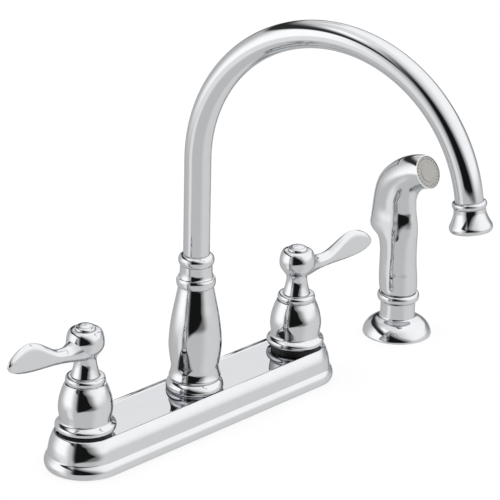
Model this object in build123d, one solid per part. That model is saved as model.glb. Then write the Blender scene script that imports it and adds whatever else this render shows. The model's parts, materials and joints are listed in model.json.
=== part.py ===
"""Two handle kitchen faucet with side sprayer, in millimetres, +Z up.

Origin: on the spout's axis at the sink deck. +X points to the user's right, -Y towards the user.
"""
import math
import os

from build123d import *

os.makedirs("parts", exist_ok=True)

# ---- driving dimensions -------------------------------------------------------------------
HANDLE_X = 101.6        # each handle axis from the spout axis: the standard 8 in centres
SPRAY_X = 215.0         # sprayer axis from the spout axis
SPOUT_TURN = 9.68       # the spout's rest turn about +Z, from straight towards the user
LEFT_TURN = 180.0       # direction of the left lever, from +X
RIGHT_TURN = -9.8       # direction of the right lever, from +X
PLATE_FLOOR = 21.5      # top of the plate's channel
FLOOR_UNDER = 19.5      # underside of the plate's channel floor
PLATE_HOLE_R = 11.3
SHANK_R = 10.4          # supply ends of the shanks below the deck
CLAMP_R = 10.9          # the shanks' clamping thread
SHANK_END = -50.0
BLOCK_R = 14.0          # valve and tee blocks inside the plate
BARREL_R = 11.0
CARTRIDGE_R = 8.2
CARTRIDGE_FLOOR = 24.0
BELL_FOOT = 26.0        # underside of the bells, on their rubber rings
STEM_SHOULDER = 62.0    # underside of the levers
BELL_TOP = STEM_SHOULDER + 1.2
BELL_SEAT = STEM_SHOULDER - 0.7     # floor of the bells' mouths, clear of the levers
BELL_MOUTH_R = 9.75
NUT_TOP = STEM_SHOULDER - 12.0      # top of the bonnet nuts
BARREL_TOP = NUT_TOP - 6.0
SPINDLE_FOOT = NUT_TOP - 3.2        # where the stems' thick part ends, under the nuts
SOCKET_TOP = 77.0
SCREW_SEAT = 88.0
LEVER_TOP = 95.0
MIX_Z = 10.0            # height of the mixing tubes
MIX_R = 4.75
MIX_SHOULDER = 7.5      # where a mixing tube stops, from the axis of its block
HUB_TOP = 103.35
POST_TOP = 90.0
TUBE_R = 8.9
TUBE_BORE = 7.7
TUBE_FOOT = 46.0
TUBE_RISE = 185.8       # height at which the spout begins to bend
ARC_R = 100.85          # centreline radius of the gooseneck
ARC_DEG = 172.5
OUTLET_LONG = 18.0
AERATOR_SEAT = OUTLET_LONG - 5.5    # shoulder in the outlet on which the aerator bears
WASHER_SEAT = AERATOR_SEAT - 2.5
HOLDER_RING_TOP = 32.5
SEAT_LOW = (11.3, 26.0)     # taper seat in the sprayer's holder: radius, height
SEAT_HIGH = (12.5, 32.5)
FIT = 0.06              # running gap of the sprayer's taper
HEAD_PIVOT = (-34.6, 104.0)     # centre of the bend of the sprayer's head: Y, Z
HEAD_END = 65.0         # how far the head bends, in degrees
TRIGGER_PIN = (-2.0, 129.0)     # Y, Z
TRIGGER_HALF = 8.5
TRIGGER_TRAVEL = 5.0
PLUNGER_Z = 100.0


# ---- helpers ------------------------------------------------------------------------------
def wire_face(runs, place):
    """Face bounded by runs of points: two points give a line, more give a smooth curve."""
    edges = []
    for run in runs:
        points = [place(*pair) for pair in run]
        if len(points) == 2:
            edges.append(Line(*points))
        else:
            edges.append(Spline(*points))
    edges.append(Line(place(*runs[-1][-1]), place(*runs[0][0])))
    return make_face(edges)


def line_runs(points):
    """Straight runs through the points, in order."""
    return [[a, b] for a, b in zip(points, points[1:])]


def turned(runs, x=0.0, y=0.0):
    """Body turned about the vertical axis at x, y from runs of (radius, height) points."""
    face = wire_face(runs, lambda r, z: (r, 0, z))
    return Pos(x, y, 0) * revolve(face, Axis.Z)


def rod(radius, low, high, x=0.0, y=0.0):
    """Upright round bar."""
    return Pos(x, y, (low + high) / 2) * Cylinder(radius, high - low)


def ring(outer, inner, low, high, x=0.0, y=0.0):
    """Upright ring."""
    return rod(outer, low, high, x, y) - rod(inner, low - 1, high + 1, x, y)


def hex_nut(flats, bore, low, high, x=0.0, y=0.0):
    """Upright hexagon nut."""
    outline = RegularPolygon(flats / 2 / math.cos(math.pi / 6), 6)
    block = Pos(x, y, low) * extrude(outline, high - low)
    return block - rod(bore, low - 1, high + 1, x, y)


def bar(radius, start, end):
    """Round bar between two points."""
    start = Vector(*start)
    end = Vector(*end)
    along = end - start
    plane = Plane(origin=start, z_dir=along.normalized())
    return extrude(plane * Circle(radius), along.length)


def oval(plane, wide, high):
    """Elliptical outline in two halves that meet on the plane's own Y axis."""
    right = []
    left = []
    for step in range(9):
        turn = math.pi * step / 8
        right.append(plane.from_local_coords((wide * math.sin(turn), high * math.cos(turn), 0)))
        left.append(plane.from_local_coords((-wide * math.sin(turn), -high * math.cos(turn), 0)))
    way = plane.x_dir
    out = Edge.make_spline(right, tangents=[way, way * -1])
    back = Edge.make_spline(left, tangents=[way * -1, way])
    return Wire([out, back])


def coil(radius, wire, low, high, turns, x=0.0, y=0.0):
    """Upright coil spring whose wire reaches from low to high."""
    rise = high - low - 2 * wire
    path = Helix(rise / turns, rise, radius)
    plane = Plane(origin=path @ 0, z_dir=path % 0)
    wound = sweep(plane * RegularPolygon(wire, 6), path=path, is_frenet=True)
    return Pos(x, y, low + wire) * wound


def save(shape, node):
    """Write one named piece."""
    export_step(shape, "parts/" + node + ".step")


# ---- plate --------------------------------------------------------------------------------
def deck_plate():
    runs = line_runs([(0, FLOOR_UNDER), (20.6, FLOOR_UNDER), (22.2, 14.0), (22.9, 9.0)])
    runs += line_runs([(22.9, 9.0), (24.9, 5.5), (24.9, 0), (26.3, 0)])
    runs += [[(26.3, 0), (27.05, 1.6), (27.3, 4.0), (26.5, 6.9), (25.1, 9.0)]]
    runs += [[(25.1, 9.0), (24.6, 12.8), (23.75, 17.0), (22.3, 21.2), (21.3, 23.3)]]
    runs += [[(21.3, 23.3), (20.9, 23.95), (20.3, 24.25), (19.8, 23.8)]]
    runs += [[(19.8, 23.8), (19.25, 22.6), (18.3, 21.75), (17.0, PLATE_FLOOR)]]
    runs += [[(17.0, PLATE_FLOOR), (0, PLATE_FLOOR)]]
    left = wire_face(runs, lambda r, z: (-HANDLE_X, r, z))
    side = extrude(left, amount=2 * HANDLE_X, dir=(1, 0, 0))
    right = wire_face(runs, lambda r, z: (HANDLE_X, -r, z))
    end_right = revolve(right, Axis((HANDLE_X, 0, 0), (0, 0, 1)), 180)
    end_left = revolve(left, Axis((-HANDLE_X, 0, 0), (0, 0, 1)), 180)
    plate = side + mirror(side, Plane.XZ) + end_right + end_left
    for x in (-HANDLE_X, 0, HANDLE_X):
        plate = plate - rod(PLATE_HOLE_R, 15, 25, x)
    return plate


def base_gasket():
    outer = extrude(SlotCenterToCenter(2 * HANDLE_X, 2 * 24.88), 2.0)
    inner = extrude(SlotCenterToCenter(2 * HANDLE_X, 2 * 20.0), 2.0)
    return outer - inner


# ---- water way ----------------------------------------------------------------------------
def valve_body(x):
    towards = -math.copysign(1, x)
    body = rod(SHANK_R, SHANK_END, -28, x) + rod(CLAMP_R, -28, 2, x)
    body = body + rod(BLOCK_R, 2, FLOOR_UNDER, x)
    body = body + rod(BARREL_R, FLOOR_UNDER, BARREL_TOP, x)
    body = body - rod(5.5, SHANK_END - 1, CARTRIDGE_FLOOR + 1, x)
    body = body - rod(CARTRIDGE_R, CARTRIDGE_FLOOR, BARREL_TOP + 1, x)
    start = (x + towards * MIX_SHOULDER, 0, MIX_Z)
    body = body - bar(MIX_R + 0.03, start, (x + towards * 20, 0, MIX_Z))
    return body - bar(3.75, (x, 0, MIX_Z), (x + towards * 20, 0, MIX_Z))


def mix_tube(side):
    start = (side * MIX_SHOULDER, 0, MIX_Z)
    end = (side * (HANDLE_X - MIX_SHOULDER), 0, MIX_Z)
    return bar(MIX_R, start, end) - bar(3.75, start, end)


def mixing_body():
    body = rod(BLOCK_R, 3, FLOOR_UNDER) + rod(SHANK_R, FLOOR_UNDER, 40) + rod(12, 40, 44)
    body = body + rod(6.8, 44, POST_TOP)
    body = body - rod(6.03, 2, 6) - rod(3.4, 2, 31) - rod(4.45, 30, POST_TOP + 1)
    for z in (58, 68):
        body = body - ring(8, 5.65, z - 1.1, z + 1.1)
    for side in (-1, 1):
        start = (side * MIX_SHOULDER, 0, MIX_Z)
        body = body - bar(MIX_R + 0.03, start, (side * 20, 0, MIX_Z))
        body = body - bar(3.75, (0, 0, MIX_Z), (side * 20, 0, MIX_Z))
    return body


def o_ring(z):
    return Pos(0, 0, z) * Torus(6.65, 1.0)


def spray_outlet_nipple():
    body = rod(6.8, -40, 0) + hex_nut(15, 5, 0, 3) + rod(6.0, 3, 6) + rod(6.0, 0, 3)
    return body - rod(3.5, -41, 7)


# ---- handles ------------------------------------------------------------------------------
def bell(x):
    runs = line_runs([(15.9, 28.5), (15.9, BELL_FOOT), (19.0, BELL_FOOT)])
    runs += [[(19.0, BELL_FOOT), (19.95, 27.0), (20.2, 28.5), (19.8, 30.0), (18.6, 31.1)]]
    runs += [[(18.6, 31.1), (17.4, 32.0), (17.1, 33.2), (17.3, 34.9)]]
    low, neck = BELL_FOOT + 8.9, BELL_TOP - 5.2
    high = neck - low
    runs += [[(17.3, low), (18.0, low + 0.255 * high), (17.25, low + 0.537 * high),
              (15.3, low + 0.827 * high), (13.5, neck)]]
    runs += [[(13.5, neck), (12.75, neck + 0.4)]]
    runs += [[(12.75, neck + 0.4), (13.1, neck + 1.5), (13.2, neck + 2.9), (12.6, neck + 4.5), (11.4, BELL_TOP)]]
    runs += line_runs([(11.4, BELL_TOP), (BELL_MOUTH_R, BELL_TOP), (BELL_MOUTH_R, BELL_SEAT)])
    runs += line_runs([(BELL_MOUTH_R, BELL_SEAT), (8.0, BELL_SEAT), (8.0, NUT_TOP), (14.4, NUT_TOP)])
    runs += line_runs([(14.4, NUT_TOP), (15.2, NUT_TOP - 4), (15.5, NUT_TOP - 9), (15.2, 30.0)])
    return turned(runs, x)


def stem(x):
    body = rod(8.1, 31.3, SPINDLE_FOOT, x) + rod(5.0, SPINDLE_FOOT, STEM_SHOULDER, x)
    body = body + rod(4.2, STEM_SHOULDER, SOCKET_TOP - 0.4, x)
    return body - rod(2.03, 68, SOCKET_TOP, x) - rod(5.0, 31, 38, x)


def bonnet_nut(x):
    body = hex_nut(24, 5.08, NUT_TOP - 10, NUT_TOP, x)
    return body - rod(BARREL_R + 0.03, NUT_TOP - 11, BARREL_TOP, x) - rod(8.3, BARREL_TOP - 1, NUT_TOP - 3, x)


def lever(x, turn):
    foot = BELL_TOP + 0.1
    rise = 75.6 - foot
    runs = line_runs([(0, STEM_SHOULDER), (9.6, STEM_SHOULDER), (9.6, foot)])
    runs += [[(9.6, foot), (8.8, foot + 0.22 * rise), (7.9, foot + 0.512 * rise), (7.35, foot + 0.805 * rise),
              (7.4, 75.6)]]
    runs += [[(7.4, 75.6), (8.5, 77.8), (10.1, 80.0), (11.5, 82.0)]]
    runs += [[(11.5, 82.0), (12.3, 84.0), (12.5, 86.2), (12.4, 88.3), (11.9, 91.0)]]
    runs += [[(11.9, 91.0), (11.3, 92.9), (10.4, 94.3), (9.3, LEVER_TOP)]]
    runs += [[(9.3, LEVER_TOP), (0, LEVER_TOP)]]
    body = turned(runs)
    rows = [(6.0, 82.6, 5.6, 5.0), (18.0, 82.15, 5.05, 4.9), (26.0, 83.2, 5.2, 4.7)]
    rows += [(33.0, 85.35, 6.95, 4.2), (40.0, 87.65, 8.95, 3.6), (47.0, 89.2, 9.9, 3.1)]
    rows += [(53.0, 89.4, 9.25, 2.8), (59.0, 88.9, 7.3, 2.5), (63.5, 88.3, 4.6, 2.0)]
    rows += [(66.2, 87.5, 1.5, 0.9)]
    sections = []
    for r, middle, high, wide in rows:
        plane = Plane(origin=(r, 0, middle), x_dir=(0, 1, 0), z_dir=(1, 0, 0))
        sections.append(oval(plane, wide, high))
    body = body + Solid.make_loft(sections)
    body = body - rod(4.23, STEM_SHOULDER - 1, SOCKET_TOP)
    body = body - rod(2.1, SOCKET_TOP - 1, SCREW_SEAT + 1) - rod(6.2, SCREW_SEAT, 100)
    return Pos(x, 0, 0) * Rot(0, 0, turn) * body


def button(x):
    runs = line_runs([(0, 94.4), (4.9, 94.4), (4.9, 91.2), (6.18, 91.2), (6.18, LEVER_TOP)])
    runs += line_runs([(6.18, LEVER_TOP), (6.9, LEVER_TOP), (6.9, 95.9)])
    runs += [[(6.9, 95.9), (6.5, 96.7), (5.2, 97.5), (2.8, 98.25), (0, 98.5)]]
    return turned(runs, x)


def handle_screw(x):
    body = rod(3.4, SCREW_SEAT, 90.4, x) + rod(2.0, 70, SCREW_SEAT, x)
    return body - hex_nut(3.0, 0.01, 89, 91, x) - rod(0.02, 89, 91, x)


# ---- spout --------------------------------------------------------------------------------
def spout_hub():
    runs = line_runs([(14.4, PLATE_FLOOR), (17.2, PLATE_FLOOR)])
    runs += [[(17.2, PLATE_FLOOR), (18.8, 22.9), (19.6, 24.8), (19.5, 26.8), (18.6, 28.8), (17.0, 30.2)]]
    runs += [[(17.0, 30.2), (17.5, 31.2), (17.6, 32.5), (17.15, 33.8)]]
    runs += [[(17.15, 33.8), (16.45, 36.6), (16.2, 39.8), (16.8, 43.5), (17.6, 49.4), (18.0, 55.2),
              (17.7, 61.8), (16.9, 69.8), (15.5, 78.5), (13.75, 87.2), (12.1, 95.8), (12.0, 96.9)]]
    runs += [[(12.0, 96.9), (12.9, 97.7), (13.3, 99.8), (13.2, 101.8), (12.7, HUB_TOP)]]
    runs += line_runs([(12.7, HUB_TOP), (12.0, HUB_TOP), (12.0, 101.8), (11.0, 101.8), (11.0, 86.0)])
    runs += line_runs([(11.0, 86.0), (12.0, 84.0), (13.2, 70.0), (13.2, 38.0), (14.4, 36.0)])
    return turned(runs)


def hub_bush():
    return ring(11.0, TUBE_R + 0.05, 88, 101.8) + ring(11.98, TUBE_R + 0.05, 101.8, HUB_TOP)


def in_spout(shape):
    return Rot(0, 0, SPOUT_TURN) * shape


def at_outlet(shape):
    """Carry a body turned about +Z, measured down the outlet, to the end of the gooseneck."""
    turn = math.radians(ARC_DEG)
    y = ARC_R * (math.cos(turn) - 1)
    z = TUBE_RISE + ARC_R * math.sin(turn)
    plane = Plane(origin=(0, y, z), x_dir=(1, 0, 0), z_dir=(0, -math.sin(turn), math.cos(turn)))
    return in_spout(plane.location * shape)


def spout_tube():
    upright = ring(TUBE_R, TUBE_BORE, TUBE_FOOT, TUBE_RISE)
    upright = upright - ring(10, 8.3, 86.0, 87.5)
    mouth = Pos(0, 0, TUBE_RISE) * (Circle(TUBE_R) - Circle(TUBE_BORE))
    bend = revolve(mouth, Axis((0, -ARC_R, TUBE_RISE), (1, 0, 0)), ARC_DEG)
    return in_spout(upright + bend) + at_outlet(ring(TUBE_R, TUBE_BORE, 0, 4))


def retaining_clip():
    body = ring(10.5, 8.32, 86.05, 87.45)
    return in_spout(body - Pos(0, -9.5, 86.75) * Box(6, 6, 4))


def spout_collar():
    runs = line_runs([(TUBE_R + 0.02, 103.45), (11.2, 103.45)])
    runs += [[(11.2, 103.45), (11.4, 104.4), (10.95, 108.0), (10.85, 112.0)]]
    runs += [[(10.85, 112.0), (11.5, 112.9), (12.05, 114.4), (12.1, 116.2), (11.5, 118.0), (10.2, 119.2)]]
    runs += [[(10.2, 119.2), (TUBE_R + 0.02, 119.5)]]
    return in_spout(turned(runs))


def outlet_bell():
    runs = line_runs([(TUBE_R + 0.02, 4), (TUBE_R + 0.02, -1.1), (9.4, -1.1)])
    runs += [[(9.4, -1.1), (10.5, -0.5), (10.9, 0.9), (10.6, 2.4), (9.9, 3.3)]]
    lip = OUTLET_LONG - 4.0
    runs += [[(9.9, 3.3), (10.15, 0.436 * lip), (10.85, 0.621 * lip), (11.95, 0.814 * lip), (13.3, lip)]]
    runs += [[(13.3, lip), (13.6, lip + 1.3), (13.4, lip + 2.8), (12.5, OUTLET_LONG)]]
    runs += line_runs([(12.5, OUTLET_LONG), (11.0, OUTLET_LONG), (11.0, AERATOR_SEAT), (9.2, AERATOR_SEAT)])
    runs += line_runs([(9.2, AERATOR_SEAT), (9.2, WASHER_SEAT), (TUBE_BORE, WASHER_SEAT), (TUBE_BORE, 4)])
    return at_outlet(turned(runs))


def aerator_housing():
    body = ring(10.97, 8.6, AERATOR_SEAT, AERATOR_SEAT + 4.7)
    return at_outlet(body + ring(8.8, 7.8, AERATOR_SEAT + 3.9, AERATOR_SEAT + 4.7))


def aerator_insert():
    body = rod(8.57, AERATOR_SEAT + 1.5, AERATOR_SEAT + 3.9)
    holes = [Pos(3.0 * i, 3.0 * j, AERATOR_SEAT + 2.5) * Cylinder(0.75, 4) for i in range(-2, 3) for j in range(-2, 3)
             if i * i + j * j < 7]
    return at_outlet(body - holes)


def diverter_piston():
    return ring(4.4, 2.4, 30, 47)


# ---- sprayer ------------------------------------------------------------------------------
def spray_holder():
    runs = line_runs([(10.2, -45), (13.0, -45), (13.0, 1.5), (23.1, 1.5), (23.1, 0), (25.0, 0)])
    runs += [[(25.0, 0), (25.2, 1.2), (24.5, 3.9), (23.2, 6.4), (21.0, 9.0), (17.6, 11.3), (14.2, 12.6)]]
    runs += [[(14.2, 12.6), (13.1, 13.2), (12.8, 14.4)], [(12.8, 14.4), (12.8, 24.4)]]
    runs += [[(12.8, 24.4), (13.1, 25.2), (14.4, 25.9)]]
    runs += [[(14.4, 25.9), (15.2, 26.6), (15.4, 28.0), (15.4, 30.6), (15.25, 31.8), (14.6, HOLDER_RING_TOP)]]
    runs += line_runs([(14.6, HOLDER_RING_TOP), SEAT_HIGH, SEAT_LOW, (10.2, SEAT_LOW[1])])
    return turned(runs, SPRAY_X)


def head_section(angle, near, far, half):
    """Section of the sprayer's head: angle about the bend's centre, reach near and far."""
    turn = math.radians(angle)
    middle = (near + far) / 2
    y = HEAD_PIVOT[0] + middle * math.cos(turn)
    z = HEAD_PIVOT[1] + middle * math.sin(turn)
    normal = (0, -math.sin(turn), math.cos(turn))
    return oval(Plane(origin=(SPRAY_X, y, z), x_dir=(1, 0, 0), z_dir=normal), half, (far - near) / 2)


def wand_form():
    """Outside of the sprayer's body and trigger together."""
    rows = [(33.0, 13.2, 13.2, 0), (34.6, 13.75, 13.75, 0.3), (39.0, 14.1, 14.1, 0.7)]
    rows += [(45.3, 14.25, 14.25, 1.1), (51.6, 13.7, 13.8, 1.55), (58.0, 13.2, 13.5, 1.75)]
    rows += [(66.0, 12.9, 13.7, 1.9), (74.5, 12.8, 15.4, 3.1), (80.0, 12.8, 19.6, 6.5)]
    rows += [(88.0, 12.8, 19.5, 6.8), (96.0, 12.8, 18.6, 7.0), (104.0, 12.8, 17.5, 7.0)]
    sections = [oval(Plane(origin=(SPRAY_X, y, z)), a, b) for z, a, b, y in rows]
    bends = [(16.0, 23.0, 56.3, 12.8), (32.5, 21.0, 51.0, 12.7), (49.0, 18.5, 46.0, 12.45)]
    bends += [(HEAD_END, 16.55, 41.55, 12.5)]
    sections += [head_section(*row) for row in bends]
    return Solid.make_loft(sections)


def swung(points, degrees):
    """Turn (Y, Z) points about the trigger's pin, inwards for a positive angle."""
    turn = math.radians(degrees)
    out = []
    for y, z in points:
        dy = y - TRIGGER_PIN[0]
        dz = z - TRIGGER_PIN[1]
        out.append((TRIGGER_PIN[0] + dy * math.cos(turn) + dz * math.sin(turn),
                    TRIGGER_PIN[1] - dy * math.sin(turn) + dz * math.cos(turn)))
    return out


def side_block(points, half):
    """Block with a (Y, Z) outline, as wide as plus and minus half about the sprayer's axis."""
    outline = [(SPRAY_X - half, y, z) for y, z in points]
    face = make_face(Polyline(*outline, close=True))
    return extrude(face, amount=2 * half, dir=(1, 0, 0))


TRIGGER_INSIDE = [(18.6, 79.6), (20.0, 88.0), (19.9, 96.0), (19.0, 103.0), (16.6, 111.0), (12.6, 118.5)]
TRIGGER_INSIDE += [(7.5, 124.5), (1.5, 127.5)]


def trigger_block():
    outline = [(40, 79.6)] + TRIGGER_INSIDE + [(-1.0, 131.0), (4.0, 146.0), (40, 146)]
    knuckle = Pos(SPRAY_X, *TRIGGER_PIN) * Rot(0, 90, 0) * Cylinder(3.0, 2 * TRIGGER_HALF)
    return side_block(outline, TRIGGER_HALF) + knuckle


def trigger_room():
    inside = [(y - 0.35, z - 0.2) for y, z in swung(TRIGGER_INSIDE, TRIGGER_TRAVEL + 0.4)]
    outline = [(40, 77.2), (inside[0][0], 77.2)] + inside + [(-2.4, 130.5), (3.4, 147.0), (40, 147)]
    knuckle = Pos(SPRAY_X, *TRIGGER_PIN) * Rot(0, 90, 0) * Cylinder(3.5, 2 * TRIGGER_HALF + 0.7)
    return side_block(outline, TRIGGER_HALF + 0.35) + knuckle


def nozzle(shape):
    """Carry a body turned about +Z to the nozzle: +Z there looks out of the head."""
    turn = math.radians(HEAD_END)
    y = HEAD_PIVOT[0] + 29.05 * math.cos(turn)
    z = HEAD_PIVOT[1] + 29.05 * math.sin(turn)
    plane = Plane(origin=(SPRAY_X, y, z), x_dir=(1, 0, 0), z_dir=(0, -math.sin(turn), math.cos(turn)))
    return plane.location * shape


def spray_trigger(form):
    body = (form & trigger_block()) - side_block([(16, 84), (16, 95), (23.2, 95), (22.6, 84)], 5.5)
    return body - pin_bar(1.3, 20)


def pin_bar(radius, half):
    return Pos(SPRAY_X, *TRIGGER_PIN) * Rot(0, 90, 0) * Cylinder(radius, 2 * half)


def spray_body(form):
    low = (SEAT_LOW[0] + (SEAT_HIGH[0] - SEAT_LOW[0]) * 0.2 / 6.5 - FIT, SEAT_LOW[1] + 0.2)
    high = (SEAT_HIGH[0] + (SEAT_HIGH[0] - SEAT_LOW[0]) * 0.5 / 6.5 - FIT, 33.0)
    plug = turned(line_runs([(0, low[1]), low, high, (0, high[1])]), SPRAY_X)
    body = form + plug - trigger_room()
    body = body - rod(5.97, 26, 35, SPRAY_X) - rod(8.0, 34, 62, SPRAY_X)
    body = body - rod(4.5, 61, 114, SPRAY_X, 1.0)
    body = body - nozzle(rod(9.0, -13, 1)) - nozzle(rod(11.8, -3.2, 1))
    body = body - bar(4.4, (SPRAY_X, 1.0, 112), (SPRAY_X, -13.0, 125))
    body = body - bar(4.6, (SPRAY_X, -8.6, PLUNGER_Z), (SPRAY_X, 18, PLUNGER_Z))
    return body - pin_bar(1.25, 11.0)


def trigger_pin():
    return pin_bar(1.24, 10.9)


def spray_face():
    runs = line_runs([(0, -3.2), (11.75, -3.2), (11.75, -0.55), (7.0, -0.55), (6.6, -0.05), (0, -0.05)])
    body = turned(runs)
    holes = []
    for i in range(24):
        turn = math.radians(15 * i)
        holes.append(Pos(9.9 * math.cos(turn), 9.9 * math.sin(turn), -0.9) * Cylinder(0.45, 1.6))
    return nozzle(body - holes)


def spray_plunger():
    head = bar(4.5, (SPRAY_X, 4.0, PLUNGER_Z), (SPRAY_X, 11.4, PLUNGER_Z))
    return head + bar(2.0, (SPRAY_X, 11.4, PLUNGER_Z), (SPRAY_X, 19.1, PLUNGER_Z))


def plunger_gland():
    start = (SPRAY_X, 11.5, PLUNGER_Z)
    end = (SPRAY_X, 14.5, PLUNGER_Z)
    return bar(4.58, start, end) - bar(2.08, start, end)


def plunger_spring():
    wound = coil(3.6, 0.5, 0, 9.5, 4)
    return Pos(SPRAY_X, -5.5, PLUNGER_Z) * Rot(-90, 0, 0) * wound


def hose_coupling():
    body = rod(6.8, -8, 6, SPRAY_X) + rod(9.0, 6, 26.1, SPRAY_X) + rod(5.9, 26.1, 40, SPRAY_X)
    return body - ring(7, 5.2, 34.1, 35.1, SPRAY_X) - rod(3.5, -9, 41, SPRAY_X)


def coupling_clip():
    body = ring(7.5, 5.22, 34.15, 35.05, SPRAY_X)
    return body - Pos(SPRAY_X, -6.5, 34.6) * Box(4, 5, 3)


# ---- build --------------------------------------------------------------------------------
def build_plate_and_water():
    save(deck_plate(), "deck_plate")
    save(base_gasket(), "base_gasket")
    save(mixing_body(), "mixing_body")
    save(spray_outlet_nipple(), "spray_outlet_nipple")
    save(Compound([o_ring(58), o_ring(68)]), "post_o_rings")
    save(ring(BLOCK_R - 5.2, 6.85, 44, 45.95), "thrust_washer")
    save(hex_nut(24, SHANK_R + 0.03, PLATE_FLOOR, 28), "spout_post_nut")
    save(diverter_piston(), "diverter_piston")
    save(ring(4.43, 3.2, 50, 52), "diverter_stop")
    shanks = (-HANDLE_X, HANDLE_X)
    save(Compound([hex_nut(27, BARREL_R + 0.03, PLATE_FLOOR, 27.5, x) for x in shanks]), "valve_lock_nuts")
    save(Compound([ring(17, CLAMP_R + 0.3, -14, -12, x) for x in shanks]), "mounting_washers")
    save(Compound([hex_nut(30, CLAMP_R + 0.03, -26, -14, x) for x in shanks]), "mounting_nuts")
    save(Compound([ring(16.95, 15.9, PLATE_FLOOR, BELL_FOOT, x) for x in shanks]), "bell_gaskets")


def build_handle(side, x, turn):
    save(valve_body(x), side + "_valve_body")
    save(mix_tube(math.copysign(1, x)), side + "_mix_tube")
    save(coil(6.4, 0.55, CARTRIDGE_FLOOR, 28, 2.5, x), side + "_seat_spring")
    save(ring(7.9, 3.0, 28, 31.25, x), side + "_seat")
    save(bonnet_nut(x), side + "_bonnet_nut")
    save(bell(x), side + "_bell")
    save(stem(x), side + "_stem")
    save(lever(x, turn), side + "_lever")
    save(button(x), side + "_button")
    save(handle_screw(x), side + "_screw")


def build_spout():
    save(spout_hub(), "spout_hub")
    save(hub_bush(), "hub_bush")
    save(spout_tube(), "spout_tube")
    save(retaining_clip(), "retaining_clip")
    save(spout_collar(), "spout_collar")
    save(outlet_bell(), "outlet_bell")
    save(aerator_housing(), "aerator_housing")
    save(aerator_insert(), "aerator_insert")
    save(at_outlet(ring(9.17, 7.4, WASHER_SEAT, AERATOR_SEAT)), "aerator_washer")


def build_sprayer():
    form = wand_form()
    save(spray_holder(), "spray_holder")
    save(ring(23.0, 13.1, 0, 1.5, SPRAY_X), "holder_gasket")
    save(hex_nut(34, 13.03, -22, -12, SPRAY_X), "holder_nut")
    save(hose_coupling(), "hose_coupling")
    save(coupling_clip(), "coupling_clip")
    save(spray_body(form), "spray_body")
    save(spray_trigger(form), "spray_trigger")
    save(spray_face(), "spray_face")
    save(trigger_pin(), "trigger_pin")
    save(spray_plunger(), "spray_plunger")
    save(plunger_gland(), "plunger_gland")
    save(plunger_spring(), "plunger_spring")


build_plate_and_water()
build_handle("left", -HANDLE_X, LEFT_TURN)
build_handle("right", HANDLE_X, RIGHT_TURN)
build_spout()
build_sprayer()
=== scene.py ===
"""Looks of a two handle kitchen faucet with a side sprayer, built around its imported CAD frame.

Sizes in the classes are millimetres, as on the maker's drawing. Every mesh is made in metres in the frame's own
axes: the origin is on the spout's axis at the sink deck, +X to the user's right and -Y towards the user.
"""

from __future__ import annotations

import json
import logging
import math
from dataclasses import dataclass, field
from enum import Enum

import bmesh
import bpy
from mathutils import Matrix, Vector

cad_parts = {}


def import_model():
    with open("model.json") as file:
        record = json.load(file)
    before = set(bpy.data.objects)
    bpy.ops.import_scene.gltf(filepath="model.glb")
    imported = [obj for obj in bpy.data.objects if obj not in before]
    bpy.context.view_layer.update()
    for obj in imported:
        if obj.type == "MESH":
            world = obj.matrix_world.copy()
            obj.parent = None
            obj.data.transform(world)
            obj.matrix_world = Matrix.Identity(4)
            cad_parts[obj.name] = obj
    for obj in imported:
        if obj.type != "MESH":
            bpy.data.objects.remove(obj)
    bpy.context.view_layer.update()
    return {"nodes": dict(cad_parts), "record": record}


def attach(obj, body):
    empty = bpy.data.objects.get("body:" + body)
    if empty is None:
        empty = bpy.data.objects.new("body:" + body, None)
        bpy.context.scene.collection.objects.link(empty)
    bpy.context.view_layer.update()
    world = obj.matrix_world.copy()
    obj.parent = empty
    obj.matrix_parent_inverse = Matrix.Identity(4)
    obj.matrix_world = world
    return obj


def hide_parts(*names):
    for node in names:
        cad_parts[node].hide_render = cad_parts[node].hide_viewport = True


LOG = logging.getLogger("faucet")
MM = 0.001
MERGE = 1e-6  # metres within which two vertices are one
ROUND_STEPS = 144  # facets round a turned piece, fine enough for clean reflections
SMOOTH_STEP = 0.45  # mm between the points of a smooth profile
SHARP_ANGLE = math.radians(32)
BELOW_DECK = -3 * MM

Pair = tuple[float, float]
Run = list[Pair]


class Side(Enum):
    """The two handles, by the side of the spout they stand on."""

    LEFT = "left"
    RIGHT = "right"


# ---------------------------------------------------------------------------------------------------------------
# Materials
# ---------------------------------------------------------------------------------------------------------------


def linear(code: str) -> tuple[float, float, float, float]:
    """Turn an sRGB hex value into a linear colour.

    Args:
        code: Colour such as "C8CACB".

    Returns:
        Linear red, green, blue and an alpha of 1.
    """
    out = []
    for start in (0, 2, 4):
        value = int(code[start : start + 2], 16) / 255
        out.append(value / 12.92 if value <= 0.04045 else ((value + 0.055) / 1.055) ** 2.4)
    return (out[0], out[1], out[2], 1.0)


def add_node(
    tree: bpy.types.NodeTree, kind: str, settings: dict | None = None, links: dict | None = None
) -> bpy.types.Node:
    """Add a node with its settings and its incoming links.

    Args:
        tree: Node tree that takes the node.
        kind: Blender's name of the node type.
        settings: Attribute names, or socket names in quotes after "in:", with their values.
        links: Input socket name or index to the output socket that feeds it.

    Returns:
        The new node.
    """
    node = tree.nodes.new(kind)
    for key, value in (settings or {}).items():
        if key.startswith("in:"):
            name = key[3:]
            node.inputs[int(name) if name.isdigit() else name].default_value = value
        else:
            setattr(node, key, value)
    for key, source in (links or {}).items():
        tree.links.new(source, node.inputs[key])
    return node


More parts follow.
